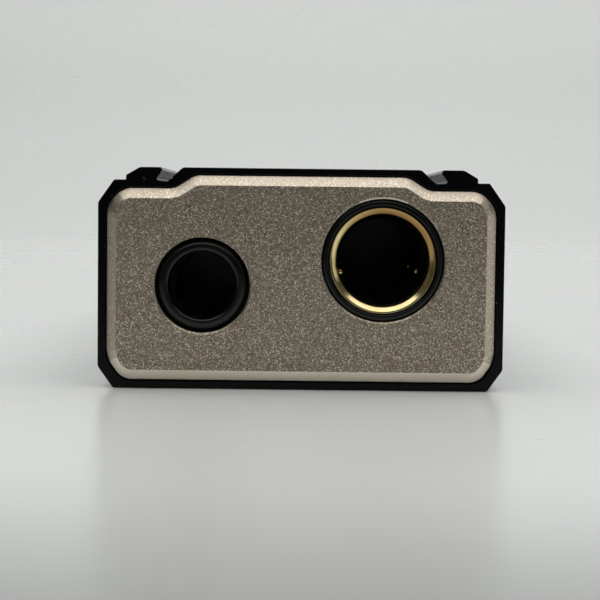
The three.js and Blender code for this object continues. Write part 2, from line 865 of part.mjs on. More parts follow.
for (const [name, y] of Object.entries(keyPlaces)) {
  addPart(`${name}_key`, makeKey(y), "blackAluminium");
  addPart(`${name}_plunger`, makePlunger(y), "blackPlastic");
  addPart(`${name}_switch`, makeKeySwitch(y), "blackPlastic");
}

addPart("gain_knob", makeGainKnob(), "blackAluminium");
addPart("gain_lever", makeGainLever(), "blackPlastic");
addPart("gain_switch_body", makeGainSwitchBody(), "blackPlastic");

addPart("main_board", makeBoard(), "board");
addPart("insulating_film", makeFilm(), "film");
for (const [name, x, y, size, finishName] of boardParts) {
  addPart(name, makeBoardPart(x, y, size), finishName);
}
addPart("shield_can", makeShieldCan(), "steel");
addPart("status_lamp", makeLamp(), "lamp");
addPart("light_pipe", makeLightPipe(), "clearPlastic");

export default amplifier;
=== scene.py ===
import math

import bmesh
import bpy
from mathutils import Matrix, Vector


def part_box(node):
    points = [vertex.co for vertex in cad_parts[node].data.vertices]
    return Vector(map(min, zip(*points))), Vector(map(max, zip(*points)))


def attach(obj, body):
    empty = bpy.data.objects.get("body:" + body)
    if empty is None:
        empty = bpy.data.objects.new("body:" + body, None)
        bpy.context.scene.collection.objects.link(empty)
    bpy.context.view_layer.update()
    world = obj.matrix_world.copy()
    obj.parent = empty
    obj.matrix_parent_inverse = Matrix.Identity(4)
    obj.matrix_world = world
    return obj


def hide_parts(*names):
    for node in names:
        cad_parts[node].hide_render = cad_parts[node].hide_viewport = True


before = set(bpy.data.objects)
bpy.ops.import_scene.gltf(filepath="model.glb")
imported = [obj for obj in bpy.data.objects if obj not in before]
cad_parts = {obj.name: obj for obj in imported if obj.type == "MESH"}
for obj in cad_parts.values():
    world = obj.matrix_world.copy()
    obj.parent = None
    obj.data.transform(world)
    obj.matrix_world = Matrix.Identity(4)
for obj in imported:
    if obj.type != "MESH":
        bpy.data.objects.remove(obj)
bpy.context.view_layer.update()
print("frame loaded:", len(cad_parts), "nodes")

mm = 0.001  # pieces are modelled in millimetres and brought to metres at the end
hair = 0.001  # for telling which vertices lie on a plane
mergeDistance = 1e-4
past = 1.0  # how far a cutter runs beyond what it cuts
roundShare = 0.97  # of half a width, so that two rounded corners never meet in one point


def nodeBox(node):  # a CAD node's two corners, in mm
    low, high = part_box(node)
    return low / mm, high / mm


def midpoint(node):
    low, high = nodeBox(node)
    return (low + high) / 2


# shader nodes

class Link:  # a socket that can be added, multiplied and so on
    def __init__(self, finish, socket):
        self.finish = finish
        self.socket = socket

    def maths(self, operation, first, second=0.0):
        return self.finish.maths(operation, first, second)

    def __add__(self, other):
        return self.maths("ADD", self, other)

    def __radd__(self, other):
        return self.maths("ADD", other, self)

    def __sub__(self, other):
        return self.maths("SUBTRACT", self, other)

    def __rsub__(self, other):
        return self.maths("SUBTRACT", other, self)

    def __mul__(self, other):
        return self.maths("MULTIPLY", self, other)

    def __rmul__(self, other):
        return self.maths("MULTIPLY", other, self)

    def __truediv__(self, other):
        return self.maths("DIVIDE", self, other)


class Finish:  # one material: a Principled shader and the nodes that feed it
    def __init__(self, name, **constants):
        self.material = bpy.data.materials.new(name)
        self.material.use_nodes = True
        self.tree = self.material.node_tree
        self.shader = self.tree.nodes["Principled BSDF"]
        self.feed(**constants)
        self.place = self.node("ShaderNodeTexCoord", output="Object")

    def node(self, kind, settings=None, inputs=None, output=0):
        made = self.tree.nodes.new(kind)
        for key, value in (settings or {}).items():
            if key == "stops":
                self.setStops(made.color_ramp, value)
            else:
                setattr(made, key, value)
        for key, value in (inputs or {}).items():
            self.plug(made.inputs[key], value)
        return Link(self, made.outputs[output])

    def setStops(self, ramp, stops):
        for position, colour in stops[2:]:
            ramp.elements.new(position)
        for element, (position, colour) in zip(ramp.elements, stops):
            element.position = position
            element.color = colour

    def plug(self, socket, value):
        if isinstance(value, Link):
            self.tree.links.new(value.socket, socket)
        else:
            socket.default_value = value

    def feed(self, **sockets):  # baseColor= feeds the shader's Base Color, and so on
        for key, value in sockets.items():
            words = key[0].upper() + "".join(" " + c if c.isupper() else c for c in key[1:])
            name = words.replace("I O R", "IOR").replace("Ior", "IOR")
            if isinstance(value, tuple) and len(value) == 3:
                value = (*value, 1.0)
            self.plug(self.shader.inputs[name], value)

    def maths(self, operation, first, second=0.0):
        return self.node("ShaderNodeMath", {"operation": operation}, {0: first, 1: second})

    def noise(self, size, detail=2.0, stretch=(1, 1, 1), roughness=0.5):  # size in mm
        spot = self.node("ShaderNodeMapping", {}, {"Vector": self.place, "Scale": stretch})
        values = {"Vector": spot, "Scale": 1 / (size * mm), "Detail": detail, "Roughness": roughness}
        return self.node("ShaderNodeTexNoise", {}, values)

    def cells(self, size, feature="F1", output="Distance"):  # size in mm
        values = {"Vector": self.place, "Scale": 1 / (size * mm)}
        return self.node("ShaderNodeTexVoronoi", {"feature": feature}, values, output)

    def ramp(self, factor, low, high, interpolation="LINEAR"):  # 0 below low, 1 above high
        values = {0: factor, 1: low, 2: high, 3: 0.0, 4: 1.0}
        kind = {"interpolation_type": interpolation, "clamp": True}
        return self.node("ShaderNodeMapRange", kind, values)

    def mix(self, factor, first, second):
        colours = [(*c, 1.0) if isinstance(c, tuple) else c for c in (first, second)]
        values = {0: factor, 6: colours[0], 7: colours[1]}
        return self.node("ShaderNodeMix", {"data_type": "RGBA"}, values, 2)

    def axis(self, letter):  # one object coordinate, in mm
        split = self.node("ShaderNodeSeparateXYZ", {}, {0: self.place}, letter)
        return split / mm

    def attribute(self, name):
        return self.node("ShaderNodeAttribute", {"attribute_name": name}, output="Fac")

    def bump(self, height, distance, strength=1.0):  # distance in mm
        values = {"Height": height, "Distance": distance * mm, "Strength": strength}
        self.feed(normal=self.node("ShaderNodeBump", {}, values))


# finishes

blackAluminiumLook = {
    "colour": (0.0012, 0.0014, 0.002),
    "paler": (0.0028, 0.0031, 0.0038),
    "bare": (0.46, 0.45, 0.44),
    "paint": (0.42, 0.43, 0.43),
    "speck": (0.2, 0.2, 0.2),
    "grainSize": 0.09,
    "lineSize": 0.16,
    "nickSize": 0.35,
    "speckSize": 0.22,
    "cloudSize": 6.0,
    "bumpDepth": 0.0012,
    "roughness": (0.17, 0.26),
    "wornShare": 0.66,
}


def blackAluminium():
    look = blackAluminiumLook
    finish = Finish("blackAluminium", ior=1.5, specularIORLevel=0.17)
    grain = finish.noise(look["grainSize"], 3.0)
    dieLines = finish.noise(look["lineSize"], 2.0, (1, 0.012, 1))  # the die's faint lines run along Y
    cloud = finish.noise(look["cloudSize"], 3.0)
    tone = finish.ramp(cloud, 0.35, 0.7)
    colour = finish.mix(tone, look["colour"], look["paler"])
    chips = finish.noise(look["nickSize"], 4.0, (1, 0.35, 1), 0.7)
    nicks = finish.ramp(chips, look["wornShare"], look["wornShare"] + 0.05)
    worn = nicks * finish.attribute("edgeWear")
    specks = finish.ramp(finish.noise(look["speckSize"], 1.0), 0.80, 0.83)
    colour = finish.mix(worn, colour, look["bare"])
    colour = finish.mix(specks * 0.3, colour, look["speck"])
    colour = finish.mix(finish.attribute("paint") * 0.9, colour, look["paint"])
    low, high = look["roughness"]
    roughness = finish.ramp(grain, 0.3, 0.7) * (high - low) + low
    finish.feed(baseColor=colour, metallic=worn * 0.9, roughness=roughness + worn * 0.1)
    finish.bump(grain * 0.6 + dieLines * 0.7 - worn * 0.8, look["bumpDepth"], 0.5)
    return finish.material


bronzeLook = {
    "colour": (0.56, 0.465, 0.34),
    "darker": (0.17, 0.137, 0.098),
    "lighter": (1.0, 0.93, 0.81),
    # painted highlight colour of the slanted border faces
    "cut": (0.84, 0.73, 0.58),
    "grainSize": 0.05,
    "creaseSize": 0.095,
    "mottleSize": 0.075,
    "cloudSize": 4.0,
    "bumpDepth": 0.010,
    "roughness": 0.4,
}


def bronzeAluminium():  # bead-blasted, then anodised: tiny dimples that sparkle
    look = bronzeLook
    finish = Finish("bronzeAluminium", metallic=1.0)
    beads = finish.cells(look["grainSize"], "F1", "Color")
    bead = finish.node("ShaderNodeSeparateColor", {}, {0: beads}, 0)
    glint = finish.node("ShaderNodeSeparateColor", {}, {0: beads}, 1)
    dimple = finish.cells(look["grainSize"] * 1.3)
    mottle = finish.noise(look["mottleSize"], 2.0)
    cloud = finish.ramp(finish.noise(look["cloudSize"], 3.0), 0.3, 0.75)
    cut = finish.attribute("cutFace")
    rubbed = finish.attribute("rubbed")
    fromMiddle = finish.maths("ABSOLUTE", finish.noise(look["creaseSize"], 1.0) - 0.5)
    crease = (1 - finish.ramp(fromMiddle, 0.0, 0.05)) * finish.ramp(mottle, 0.42, 0.58)
    tone = finish.ramp(bead * 0.75 + mottle * 0.4, 0.25, 0.95)
    colour = finish.mix(tone, look["darker"], look["colour"])
    colour = finish.mix(crease * 0.55, colour, look["lighter"])
    # painted highlight: the slanted border faces are painted lighter for the light they catch
    colour = finish.mix(cut * 0.5, colour, look["cut"])
    # painted highlight: the downward slanted faces are painted lighter still
    colour = finish.mix(rubbed * 0.85, colour, look["lighter"])
    colour = finish.mix(finish.ramp(glint, 0.86, 0.94), colour, look["lighter"])
    colour = finish.mix(cloud * 0.05, colour, look["lighter"])
    roughness = look["roughness"] + bead * 0.12 - cut * 0.06 + rubbed * 0.2
    finish.feed(baseColor=colour, roughness=roughness)
    finish.bump(dimple * 0.8 + mottle * 0.4 + crease * 0.3, look["bumpDepth"], 0.6)
    return finish.material


goldLook = {
    "colour": (0.97, 0.82, 0.42),
    "deep": (0.80, 0.58, 0.22),
    # painted shade colour for one side of the entry ring
    "paintedShadeColour": (0.46, 0.29, 0.11),
    "toolMarkSize": 0.05,
    "stainSize": 0.9,
    "bumpDepth": 0.002,
    "roughness": (0.15, 0.27),
}


def goldPlate(name, paintedShadeMiddle=None):  # the last argument is the middle of a ring that gets painted shade up and to its right
    look = goldLook
    finish = Finish(name, metallic=1.0)
    turning = finish.noise(look["toolMarkSize"], 2.0, (0.25, 1, 0.25))  # rings round the jack's axis
    stain = finish.ramp(finish.noise(look["stainSize"], 4.0), 0.42, 0.75)
    colour = finish.mix(stain * 0.6, look["colour"], look["deep"])
    if paintedShadeMiddle is not None:
        # painted shade: the ring is painted darker up and to its right, where it catches less light
        across = (finish.axis("X") - paintedShadeMiddle.x) * 0.55 + (finish.axis("Z") - paintedShadeMiddle.z) * 0.85
        colour = finish.mix(finish.ramp(across + stain * 0.5, -0.4, 2.2), colour, look["paintedShadeColour"])
    low, high = look["roughness"]
    finish.feed(baseColor=colour, roughness=finish.ramp(turning, 0.3, 0.7) * (high - low) + low)
    finish.bump(turning, look["bumpDepth"], 0.5)
    return finish.material


def mouldedPlastic(name, colour, roughness, grain=0.07, depth=0.003, spread=0.14):
    finish = Finish(name, ior=1.49, specularIORLevel=0.42)
    texture = finish.noise(grain, 2.0)
    cloud = finish.noise(1.8, 3.0)
    paler = tuple(c * 1.7 + 0.003 for c in colour)
    finish.feed(baseColor=finish.mix(finish.ramp(cloud, 0.35, 0.75) * 0.6, colour, paler))
    finish.feed(roughness=roughness + finish.ramp(cloud, 0.3, 0.7) * spread)
    finish.bump(texture, depth, 0.5)
    return finish.material


def rolledMetal(name, colour, roughness, stretch=(1, 0.06, 1)):
    finish = Finish(name, metallic=1.0)
    brushed = finish.noise(0.06, 3.0, stretch)
    cloud = finish.ramp(finish.noise(1.5, 3.0), 0.3, 0.75)
    darker = tuple(c * 0.72 for c in colour)
    finish.feed(baseColor=finish.mix(cloud * 0.5, colour, darker))
    finish.feed(roughness=roughness + finish.ramp(brushed, 0.3, 0.7) * 0.16)
    finish.bump(brushed, 0.002, 0.5)
    return finish.material


boardLook = {
    "mask": (0.012, 0.045, 0.028),
    "trace": (0.03, 0.11, 0.06),
    "pad": (0.75, 0.55, 0.25),
    "tracePitch": 1.5,
    "padPitch": 1.4,
    "bumpDepth": 0.02,
}


def boardLaminate():
    look = boardLook
    finish = Finish("boardLaminate", ior=1.5)
    weave = finish.noise(0.3, 2.0, (1, 0.2, 1))
    routes = finish.cells(look["tracePitch"], "DISTANCE_TO_EDGE")
    trace = 1 - finish.ramp(routes, 0.05, 0.09)
    holes = finish.cells(look["padPitch"])
    pad = 1 - finish.ramp(holes, 0.10, 0.14)
    colour = finish.mix(trace, look["mask"], look["trace"])
    colour = finish.mix(pad, colour, look["pad"])
    finish.feed(baseColor=colour, metallic=pad * 0.9, roughness=0.34 + weave * 0.12)
    finish.bump(trace * 0.6 + pad * 0.4 + weave * 0.2, look["bumpDepth"], 0.6)
    return finish.material


def bandedResin(name, colour, band):  # moulded capacitor bodies with darker bands
    finish = Finish(name, ior=1.5)
    grain = finish.noise(0.08, 2.0)
    stripes = finish.ramp(finish.noise(2.2, 1.0, (0.2, 1, 0.2)), 0.55, 0.57)
    finish.feed(baseColor=finish.mix(stripes, colour, band))
    finish.feed(roughness=0.45 + grain * 0.15)
    finish.bump(grain, 0.01, 0.4)
    return finish.material


def amberFilm():
    finish = Finish("amberFilm", ior=1.6)
    creases = finish.noise(3.0, 4.0, (1, 0.3, 1))
    finish.feed(baseColor=finish.mix(creases, (0.33, 0.17, 0.03), (0.5, 0.3, 0.07)))
    finish.feed(roughness=0.22 + creases * 0.2)
    finish.bump(creases, 0.04, 0.4)
    return finish.material


def clearPlastic():
    finish = Finish("clearPlastic", ior=1.49, transmissionWeight=0.7)
    haze = finish.noise(0.12, 3.0)
    finish.feed(baseColor=finish.mix(haze, (0.80, 0.84, 0.85), (0.9, 0.93, 0.93)))
    finish.feed(roughness=0.22 + haze * 0.2)
    finish.bump(haze, 0.004, 0.4)
    return finish.material


finishes = {
    "blackAluminium": blackAluminium(),
    "bronzeAluminium": bronzeAluminium(),
    "goldPlate": goldPlate("goldPlate"),
    "ringGold": goldPlate("ringGold", midpoint("jack_4_4_entry_ring")),
    "jackPlastic": mouldedPlastic("jackPlastic", (0.0016, 0.0024, 0.0022), 0.19, 0.09, 0.004, 0.1),
    "innerPlastic": mouldedPlastic("innerPlastic", (0.006, 0.0065, 0.007), 0.42),
    "switchPlastic": mouldedPlastic("switchPlastic", (0.012, 0.012, 0.013), 0.45),
    "chipResin": mouldedPlastic("chipResin", (0.014, 0.014, 0.015), 0.5, 0.05, 0.004),
    "ferriteCore": mouldedPlastic("ferriteCore", (0.05, 0.05, 0.055), 0.6, 0.12, 0.012),
    "lampResin": mouldedPlastic("lampResin", (0.75, 0.73, 0.6), 0.3),
    "portSteel": rolledMetal("portSteel", (0.62, 0.61, 0.59), 0.22),
    "screwSteel": rolledMetal("screwSteel", (0.045, 0.045, 0.048), 0.3, (1, 1, 1)),
    "crystalCan": rolledMetal("crystalCan", (0.75, 0.75, 0.74), 0.2, (0.1, 1, 1)),
    "tantalumResin": bandedResin("tantalumResin", (0.52, 0.27, 0.05), (0.25, 0.1, 0.02)),
    "boardLaminate": boardLaminate(),
    "amberFilm": amberFilm(),
    "clearPlastic": clearPlastic(),
}
print("finishes made:", len(finishes))


# mesh tools

alongAxis = {  # where an outline's two directions and its depth go
    "X": lambda u, v, w: (w, u, v),
    "Y": lambda u, v, w: (u, w, v),
    "Z": lambda u, v, w: (u, v, w),
}


def mirrored(half):  # the right half of an outline, bottom to top, and its mirror image
    return half + [(-x, z, r) for x, z, r in reversed(half)]


def rectangle(width, height, radius=0.0, u=0.0, v=0.0):
    w, h = width / 2, height / 2
    corners = [(-w, -h), (w, -h), (w, h), (-w, h)]
    return [(u + a, v + b, radius) for a, b in corners]


def stadium(length, height, u=0.0, v=0.0):
    return rectangle(length, height, height / 2 * roundShare, u, v)


def roundCorners(bm, verts, corners, steps):
    for vert, corner in zip(verts, corners):
        if corner[2] > 0:
            bmesh.ops.bevel(bm, geom=[vert], offset=corner[2], offset_type="OFFSET", segments=steps,
                            profile=0.5, affect="VERTICES", clamp_overlap=False, material=-1)


def slab(axis, corners, start, end, steps=5):  # pushes an outline of (u, v, corner radius) along an axis
    bm = bmesh.new()
    place = alongAxis[axis]
    verts = [bm.verts.new(place(u, v, start)) for u, v, radius in corners]
    bm.faces.new(verts)
    roundCorners(bm, verts, corners, steps)
    bmesh.ops.remove_doubles(bm, verts=bm.verts, dist=mergeDistance)
    pushed = bmesh.ops.extrude_face_region(bm, geom=bm.faces[:])
    moved = [item for item in pushed["geom"] if isinstance(item, bmesh.types.BMVert)]
    bmesh.ops.translate(bm, verts=moved, vec=place(0, 0, end - start))
    bmesh.ops.recalc_face_normals(bm, faces=bm.faces)
    return bm


def turned(profile, centre, axis="Y", steps=96, roundSteps=4):  # spins (radius, depth, corner radius)
    bm = bmesh.new()
    place = alongAxis[axis]
    verts = [bm.verts.new(place(radius, 0, depth)) for radius, depth, corner in profile]
    face = bm.faces.new(verts)
    roundCorners(bm, verts, profile, roundSteps)
    bmesh.ops.delete(bm, geom=bm.faces[:], context="FACES_ONLY")
    spinAxis = place(0, 0, 1)
    bmesh.ops.spin(bm, geom=bm.verts[:] + bm.edges[:], cent=(0, 0, 0), axis=spinAxis,
                   angle=math.tau, steps=steps, use_merge=True)
    bmesh.ops.remove_doubles(bm, verts=bm.verts, dist=2 * mergeDistance)
    bmesh.ops.dissolve_degenerate(bm, edges=bm.edges, dist=mergeDistance)
    bmesh.ops.translate(bm, verts=bm.verts, vec=centre)
    bmesh.ops.recalc_face_normals(bm, faces=bm.faces)
    return bm


def rod(radius, start, end):  # profile of a plain round hole or pin
    return [(0, start, 0), (radius, start, 0), (radius, end, 0), (0, end, 0)]


def temporary(bm):
    mesh = bpy.data.meshes.new("temporary")
    bm.to_mesh(mesh)
    bm.free()
    made = bpy.data.objects.new("temporary", mesh)
    bpy.context.scene.collection.objects.link(made)
    return made


def carve(solid, cutters, operation="DIFFERENCE"):
    base = temporary(solid)
    tools = [temporary(cutter) for cutter in cutters]
    for tool in tools:
        cut = base.modifiers.new("cut", "BOOLEAN")
        cut.object = tool
        cut.operation = operation
        cut.solver = "EXACT"
    result = bmesh.new()
    result.from_object(base, bpy.context.evaluated_depsgraph_get())
    for made in [base, *tools]:
        mesh = made.data
        bpy.data.objects.remove(made)
        bpy.data.meshes.remove(mesh)
    bmesh.ops.remove_doubles(result, verts=result.verts, dist=mergeDistance)
    return result


def joined(solids):
    return carve(solids[0], solids[1:], "UNION")


def soften(bm, width, test=None, steps=2, least=25):  # rounds the edges whose ends pass the test
    picked = []
    for edge in bm.edges:
        if len(edge.link_faces) == 2 and edge.calc_face_angle() > math.radians(least):
            if test is None or all(test(vert.co) for vert in edge.verts):
                picked.append(edge)
    bmesh.ops.bevel(bm, geom=picked, offset=width, offset_type="OFFSET", segments=steps, profile=0.5,
                    affect="EDGES", clamp_overlap=False, material=-1)
    bmesh.ops.remove_doubles(bm, verts=bm.verts, dist=mergeDistance)
    return bm


def markEdges(bm, narrow):  # faces narrower than this, in mm, take the edge wear
    layer = bm.faces.layers.float.new("edgeWear")
    for face in bm.faces:
        longest = max(edge.calc_length() for edge in face.edges)
        face[layer] = 1.0 if face.calc_area() / longest < narrow else 0.0


def addPiece(name, bm, body, finishName, replaced=(), sharp=32, narrow=0.0):
    if narrow:
        markEdges(bm, narrow)
    bmesh.ops.scale(bm, vec=(mm, mm, mm), verts=bm.verts)
    mesh = bpy.data.meshes.new(name)
    bm.to_mesh(mesh)
    bm.free()
    mesh.polygons.foreach_set("use_smooth", [True] * len(mesh.polygons))
    mesh.set_sharp_from_angle(angle=math.radians(sharp))
    piece = bpy.data.objects.new(name, mesh)
    bpy.context.scene.collection.objects.link(piece)
    mesh.materials.append(finishes[finishName])
    even = piece.modifiers.new("evenShading", "WEIGHTED_NORMAL")  # keeps the large faces flat
    even.keep_sharp = True
    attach(piece, body)
    if replaced:
        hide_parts(*replaced)
    return piece


# tube

tubeSizes = {
    "bottomChamfer": (0.85, 1.2),
    "topChamfer": (0.88, 1.95),
    "ledgeDown": 0.7,
    "railFoot": (1.53, 0.45),
    "railTop": (2.3, 3.45),
    "railLip": (3.55, 0.18),
    "undercut": (3.2, 0.62),
    "groove": (3.33, 3.84, 0.76),
    "centreTopIn": 4.65,
    "wall": 1.0,
    "roof": 0.9,
    "ceilingStep": (4.8, 5.3),
    "edge": 0.06,
    "ribDepth": 0.9,
    "ribThickness": 0.5,
    "ribGap": 0.05,
    "bossRadius": 1.15,
    "pilotRadius": 0.55,
    "cavityCorner": 0.4,
    "stepCorner": 0.2,
    "lightHoleRadius": 0.65,
    "lightHoleEdge": 0.08,
    "slotEdge": 0.12,
    "wornWidth": 0.16,
}
panelSizes = {
    "rim": 0.5,
    "centreDown": 0.42,
    "shoulderDown": 1.15,
    "shoulderIn": 4.2,
    "centreIn": 5.35,
    "cornerAcross": 0.85,
    "lowerCornerUp": 1.2,
    "upperCornerDown": 0.95,
    "blend": 0.5,
    "sweep": 0.28,
    "chamfer": 0.55,
    "seat": 1.4,
    "gap": 0.05,
    "edge": 0.05,
    "holeEdge": 0.09,
    "slantIn": 1.25,
    "slantDown": 1.85,
    "wornWidth": 0.1,
}

tubeHigh = nodeBox("housing")[1]
side = tubeHigh.x
top = tubeHigh.z
tubeEnd = tubeHigh.y
faceY = nodeBox("rear_panel")[1].y
panelBack = nodeBox("rear_panel")[0].y
grooveFloor = top - tubeSizes["groove"][2]
screwAxes = [midpoint("rear_screw_left"), midpoint("rear_screw_right")]


def tubeOutline():
    s = tubeSizes
    return mirrored([
        (side - s["bottomChamfer"][0], 0, 0.10),
        (side, s["bottomChamfer"][1], 0.10),
        (side, top - s["topChamfer"][1], 0.10),
        (side - s["topChamfer"][0], top - s["ledgeDown"], 0.07),
        (side - s["railFoot"][0], top - s["ledgeDown"], 0.04),
        (side - s["railFoot"][0], top - s["railFoot"][1], 0.06),
        (side - s["railTop"][0], top, 0.10),
        (side - s["railTop"][1], top, 0.04),
        (side - s["railLip"][0], top - s["railLip"][1], 0.05),
        (side - s["undercut"][0], top - s["undercut"][1], 0.06),
        (side - s["groove"][0], grooveFloor, 0.04),
        (side - s["groove"][1], grooveFloor, 0.10),
        (side - s["centreTopIn"], top, 0.12),
    ])


def cavityOutline():
    s = tubeSizes
    inner = side - s["wall"]
    low = grooveFloor - s["roof"]
    return mirrored([
        (inner, s["wall"], s["cavityCorner"]),
        (inner, low, s["cavityCorner"]),
        (side - s["ceilingStep"][0], low, s["stepCorner"]),
        (side - s["ceilingStep"][1], top - s["roof"], s["stepCorner"]),
    ])


def panelOutline(grow=0.0):
    s = panelSizes
    right = side - s["rim"] + grow
    shoulder = top - s["shoulderDown"] + grow
    return mirrored([
        (right - s["cornerAcross"], s["rim"] - grow, s["blend"]),
        (right, s["rim"] - grow + s["lowerCornerUp"], s["blend"]),
        (right, shoulder - s["upperCornerDown"], s["blend"]),
        (right - s["cornerAcross"], shoulder, s["blend"]),
        (side - s["shoulderIn"] + grow / 2, shoulder, s["sweep"]),
        (side - s["centreIn"] + grow / 2, top - s["centreDown"] + grow, s["sweep"]),
    ])


slotGap = 0.12  # round the keys, the knob and the screws' threads
keyNodes = {"volume_up": "plus", "volume_down": "minus"}


def keyCentre(node):  # middle of a key's cap, from its flange
    middle = midpoint(node)
    return middle.y, middle.z


def tubeFittings(direction):  # the board's two ribs and the screw boss on one side
    s = tubeSizes
    seat = tubeEnd - panelSizes["seat"]
    inWall = side - s["wall"] / 2
    boardLow, boardHigh = nodeBox("main_board")
    ribIn = side - s["wall"] - s["ribDepth"]
    ribs = []
    for low in (boardLow.z - s["ribGap"] - s["ribThickness"], boardHigh.z + s["ribGap"]):
        outline = rectangle(inWall - ribIn, s["ribThickness"], 0.0, direction * (inWall + ribIn) / 2,
                            low + s["ribThickness"] / 2)
        ribs.append(slab("Y", outline, -seat, seat))
    x, z = abs(screwAxes[0].x), screwAxes[0].z
    radius = s["bossRadius"]
    roof = grooveFloor - s["roof"] / 2
    corners = [
        (x - radius, roof, 0),
        (x - radius, z - radius, radius * roundShare),
        (inWall, z - radius, 0),
        (inWall, roof, 0),
    ]
    boss = slab("Y", [(direction * u, v, r) for u, v, r in corners], -seat, seat, 10)
    return [*ribs, boss]


def makeHousing():
    s = tubeSizes
    seat = tubeEnd - panelSizes["seat"]
    hollow = slab("Y", cavityOutline(), -tubeEnd - past, tubeEnd + past)
    front = slab("Y", panelOutline(panelSizes["gap"]), -tubeEnd - past, -seat, 10)
    rear = slab("Y", panelOutline(panelSizes["gap"]), seat, tubeEnd + past, 10)
    tube = carve(slab("Y", tubeOutline(), -tubeEnd, tubeEnd, 3), [hollow, front, rear])
    tube = joined([tube, *tubeFittings(1), *tubeFittings(-1)])
    cutters = []
    for middle in screwAxes:
        pilot = rod(s["pilotRadius"], -tubeEnd - past, tubeEnd + past)
        cutters.append(turned(pilot, (middle.x, 0, middle.z), steps=32))
    for body in keyNodes:
        y, z = keyCentre(body + "_key")
        outline = stadium(keySizes["length"] + 2 * slotGap, keySizes["height"] + 2 * slotGap, y, z)
        cutters.append(slab("X", outline, side - past * 1.5, side + past, 14))
    k = knobSizes
    y, z = keyCentre("gain_knob")
    slotLength = k["length"] + k["travel"] + 2 * slotGap
    outline = stadium(slotLength, k["height"] + 2 * slotGap, y + k["travel"] / 2, z)
    cutters.append(slab("X", outline, -side - past, -side + past * 1.5, 12))
    light = midpoint("light_pipe")
    hole = rod(s["lightHoleRadius"], grooveFloor - s["roof"], top + past)
    cutters.append(turned(hole, (light.x, light.y, 0), "Z", 32))
    tube = carve(tube, cutters)

    def onEnd(co):
        return abs(abs(co.y) - tubeEnd) < hair

    def onSlot(co):
        return abs(abs(co.x) - side) < hair and abs(co.y) < tubeEnd - past

    def onLightHole(co):
        return abs(co.z - top) < hair and (co.xy - light.xy).length < 1

    soften(tube, s["edge"], onEnd, 2, 40)
    soften(tube, s["slotEdge"], onSlot, 3, 60)
    soften(tube, s["lightHoleEdge"], onLightHole, 2, 60)
    addPiece("tube", tube, "body", "blackAluminium", ["housing"], 30, s["wornWidth"])


# volume keys

keySizes = {
    "length": 6.6,
    "height": 2.6,
    "edge": 0.22,
    "flangeOver": 0.5,
    "flangeThickness": 0.5,
    "markSize": 1.25,
    "markWidth": 0.24,
    "markDepth": 0.12,
    "capInFlange": 0.2,
    "wornWidth": 0.12,
}


def makeKey(body, mark):
    s = keySizes
    node = body + "_key"
    low, high = nodeBox(node)
    y, z = keyCentre(node)
    cap = slab("X", stadium(s["length"], s["height"], y, z), low.x + s["capInFlange"], high.x, 14)
    soften(cap, s["edge"], lambda co: co.x > high.x - hair, 4, 40)
    over = 2 * s["flangeOver"]
    outline = stadium(s["length"] + over, s["height"] + over, y, z)
    flange = slab("X", outline, low.x, low.x + s["flangeThickness"], 12)
    barEnd = s["markWidth"] * 0.45
    bars = [rectangle(s["markSize"], s["markWidth"], barEnd, y, z)]
    if mark == "plus":
        bars.append(rectangle(s["markWidth"], s["markSize"], barEnd, y, z))
    cuts = [slab("X", bar, high.x - s["markDepth"], high.x + past, 4) for bar in bars]
    key = carve(joined([flange, cap]), cuts)
    paint = key.faces.layers.float.new("paint")
    for face in key.faces:
        sunken = abs(face.calc_center_median().x - high.x + s["markDepth"]) < hair
        face[paint] = 1.0 if sunken else 0.0
    addPiece(node + "_cap", key, body, "blackAluminium", [node], 30, s["wornWidth"])


# gain switch

knobSizes = {
    "length": 2.8,
    "height": 1.4,
    "travel": 2.0,
    "edge": 0.1,
    "cover": 0.5,
    "ridges": 5,
    "ridgePitch": 0.44,
    "ridgeWidth": 0.2,
    "ridgeDepth": 0.14,
    "capInCover": 0.3,
    "coverCorner": 0.3,
    "wornWidth": 0.1,
}


def makeKnob():
    s = knobSizes
    low, high = nodeBox("gain_knob")
    y, z = keyCentre("gain_knob")
    cap = slab("X", stadium(s["length"], s["height"], y, z), low.x, high.x - s["capInCover"], 12)
    soften(cap, s["edge"], lambda co: co.x < low.x + hair, 3, 40)
    outline = rectangle(high.y - low.y, high.z - low.z, s["coverCorner"], y, z)
    cover = slab("X", outline, high.x - s["cover"], high.x)
    cuts = []
    for i in range(s["ridges"]):
        at = y + (i - (s["ridges"] - 1) / 2) * s["ridgePitch"]
        groove = rectangle(s["ridgeWidth"], s["height"] * 2, 0.0, at, z)
        cuts.append(slab("X", groove, low.x - past, low.x + s["ridgeDepth"]))
    knob = carve(joined([cover, cap]), cuts)
    addPiece("gain_knob_cap", knob, "gain_switch", "blackAluminium",
             ["gain_knob"], 30, s["wornWidth"])


makeHousing()
for keyBody, keyMark in keyNodes.items():
    makeKey(keyBody, keyMark)
makeKnob()
print("tube, keys and knob made")


# end panels

def panelBlank(direction):  # direction is -1 at the jack end and 1 at the USB end
    s = panelSizes
    blank = slab("Y", panelOutline(), direction * panelBack, direction * tubeEnd, 10)
    ends = [face for face in blank.faces if len(face.verts) > 8]
    cap = max(ends, key=lambda face: direction * face.calc_center_median().y)
    bmesh.ops.inset_region(blank, faces=[cap], thickness=s["chamfer"], use_even_offset=True)
    bmesh.ops.translate(blank, verts=cap.verts, vec=(0, direction * (faceY - tubeEnd), 0))
    bmesh.ops.recalc_face_normals(blank, faces=blank.faces)
    return soften(blank, s["edge"], lambda co: direction * co.y > tubeEnd - hair, 3, 20)


